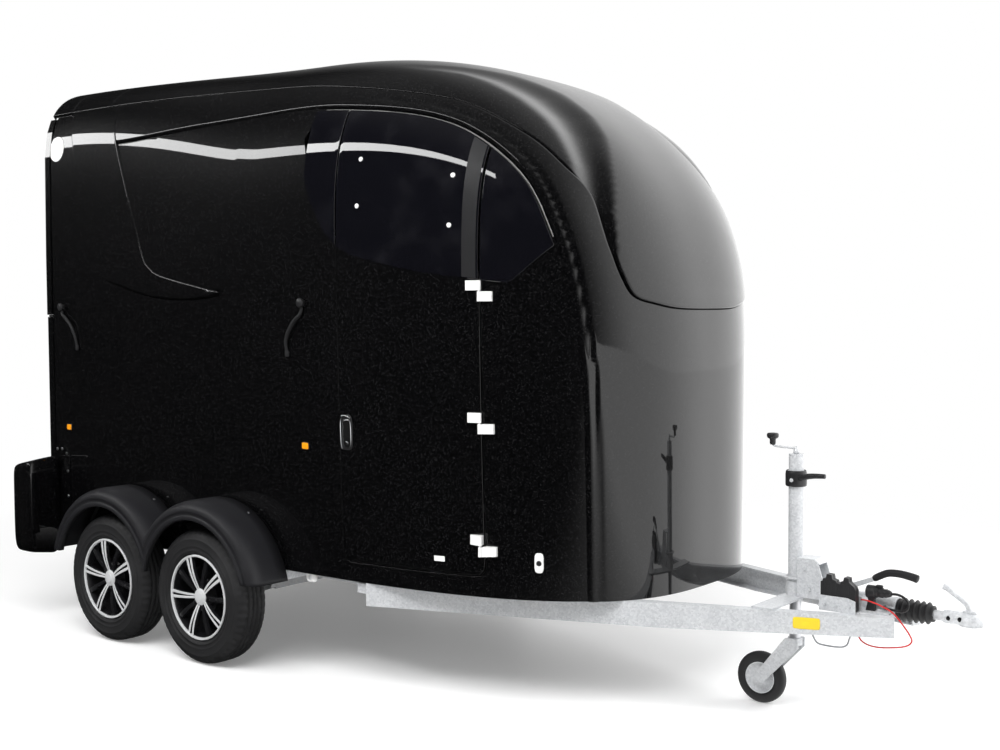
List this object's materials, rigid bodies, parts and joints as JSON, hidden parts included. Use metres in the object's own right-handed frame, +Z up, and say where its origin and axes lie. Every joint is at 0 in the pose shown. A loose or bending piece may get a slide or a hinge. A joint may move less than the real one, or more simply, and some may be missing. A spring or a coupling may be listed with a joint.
{
  "type": "horse trailer",
  "caption": "Two-horse trailer with a rounded moulded body, dark window strip, side door, rear ramp with top flap, twin axles, braked A-frame drawbar and jockey wheel.",
  "frame": {"origin": "on the ground under the middle of the overall box, on the centre plane", "axes": "+X forwards towards the coupling, +Y to the left, +Z up"},
  "size_m": [4.807, 2.264, 2.885],
  "materials": {
    "body_gloss": "deep gloss black with a fine metallic sparkle under clear coat",
    "body_trim": "gloss black moulded plastic",
    "galvanised": "hot-dip galvanised, dull spangle",
    "tinted_glass": "very dark tinted glazing",
    "guard_plastic": "dark grey matt moulded plastic",
    "rubber": "black rubber",
    "tyre": "black tyre rubber",
    "rim_alloy": "bright machined alloy with black pockets",
    "floor_board": "sealed floor board with rubber matting",
    "padding": "padded partition board",
    "chrome": "polished chrome",
    "lamp_clear": "clear and white lamp lens",
    "lamp_red": "red lamp lens",
    "lamp_amber": "amber reflector",
    "hinge_white": "white painted hinge leaf",
    "cable_black": "black cable sheath",
    "cable_red": "red plastic sheath",
    "zinc": "bright zinc plated steel"
  },
  "bodies": {
    "trailer": {"chassis": "galvanised", "drawbar": "galvanised", "axle_front": "galvanised", "axle_rear": "galvanised", "floor": "floor_board", "wall_right": "body_gloss", "wall_left": "body_gloss", "nose_shell": "body_gloss", "roof_shell": "body_gloss", "rear_cap": "body_gloss", "portal": "body_trim", "swoosh_right": "body_gloss", "swoosh_left": "body_gloss", "window_rear_right": "tinted_glass", "window_front_right": "tinted_glass", "window_left": "tinted_glass", "hinge_leaves": "hinge_white", "mudguard_right": "guard_plastic", "mudguard_left": "guard_plastic", "pod_right": "body_trim", "pod_left": "body_trim", "tail_lamps": "lamp_red", "side_reflectors": "lamp_amber", "position_lamps": "lamp_clear", "tie_points": "rubber", "centre_post": "galvanised", "partition": "padding", "breast_bars": "galvanised", "overrun_housing": "galvanised", "bellows": "rubber", "coupling_head": "zinc", "coupling_handle": "zinc", "chock_bracket": "guard_plastic", "wheel_chocks": "guard_plastic", "plug_holder": "guard_plastic", "plug": "rubber", "power_cable": "cable_black", "breakaway_cable": "cable_red", "leg_clamp": "galvanised", "leg_tube": "galvanised", "leg_crank": "guard_plastic"},
    "door": {"door_panel": "body_gloss", "door_window": "tinted_glass", "door_handle": "chrome", "door_hinges": "hinge_white"},
    "ramp": {"ramp_panel": "body_gloss"},
    "flap": {"rear_flap": "body_gloss"},
    "handbrake": {"handbrake_lever": "zinc"},
    "wheel_front_right": {"tyre_front_right": "tyre", "rim_front_right": "rim_alloy"},
    "wheel_front_left": {"tyre_front_left": "tyre", "rim_front_left": "rim_alloy"},
    "wheel_rear_right": {"tyre_rear_right": "tyre", "rim_rear_right": "rim_alloy"},
    "wheel_rear_left": {"tyre_rear_left": "tyre", "rim_rear_left": "rim_alloy"},
    "jockey_leg": {"leg_core": "zinc"},
    "jockey_swivel": {"jockey_fork": "galvanised"},
    "jockey_roller": {"jockey_wheel": "rubber"}
  },
  "joints": [
    {"name": "door_hinge", "type": "hinge", "parent": "trailer", "child": "door", "pos_m": [0.6445, -0.83524, 1.2], "axis": [0, 0, 1], "range_deg": [0, 110]},
    {"name": "ramp_hinge", "type": "hinge", "parent": "trailer", "child": "ramp", "pos_m": [-2.3185, 0, 0.482], "axis": [0, -1, 0], "range_deg": [0, 112]},
    {"name": "flap_hinge", "type": "hinge", "parent": "trailer", "child": "flap", "pos_m": [-2.3355, 0, 2.71], "axis": [0, 1, 0], "range_deg": [0, 95]},
    {"name": "handbrake_pivot", "type": "hinge", "parent": "trailer", "child": "handbrake", "pos_m": [1.8185, -0.0503, 0.52], "axis": [0, -1, 0], "range_deg": [0, 45]},
    {"name": "front_right_spin", "type": "hinge", "parent": "trailer", "child": "wheel_front_right", "pos_m": [-0.8645, -1, 0.3175], "axis": [0, 1, 0], "continuous": true},
    {"name": "front_left_spin", "type": "hinge", "parent": "trailer", "child": "wheel_front_left", "pos_m": [-0.8645, 1, 0.3175], "axis": [0, 1, 0], "continuous": true},
    {"name": "rear_right_spin", "type": "hinge", "parent": "trailer", "child": "wheel_rear_right", "pos_m": [-1.5785, -1, 0.3175], "axis": [0, 1, 0], "continuous": true},
    {"name": "rear_left_spin", "type": "hinge", "parent": "trailer", "child": "wheel_rear_left", "pos_m": [-1.5785, 1, 0.3175], "axis": [0, 1, 0], "continuous": true},
    {"name": "jockey_slide", "type": "slide", "parent": "trailer", "child": "jockey_leg", "axis": [0, 0, 1], "range_m": [0, 0.15]},
    {"name": "jockey_turn", "type": "hinge", "parent": "jockey_leg", "child": "jockey_swivel", "pos_m": [1.6405, 0, 0.285], "axis": [0, 0, 1], "continuous": true},
    {"name": "jockey_spin", "type": "hinge", "parent": "jockey_swivel", "child": "jockey_roller", "pos_m": [1.4905, 0, 0.108], "axis": [0, 1, 0], "continuous": true}
  ]
}
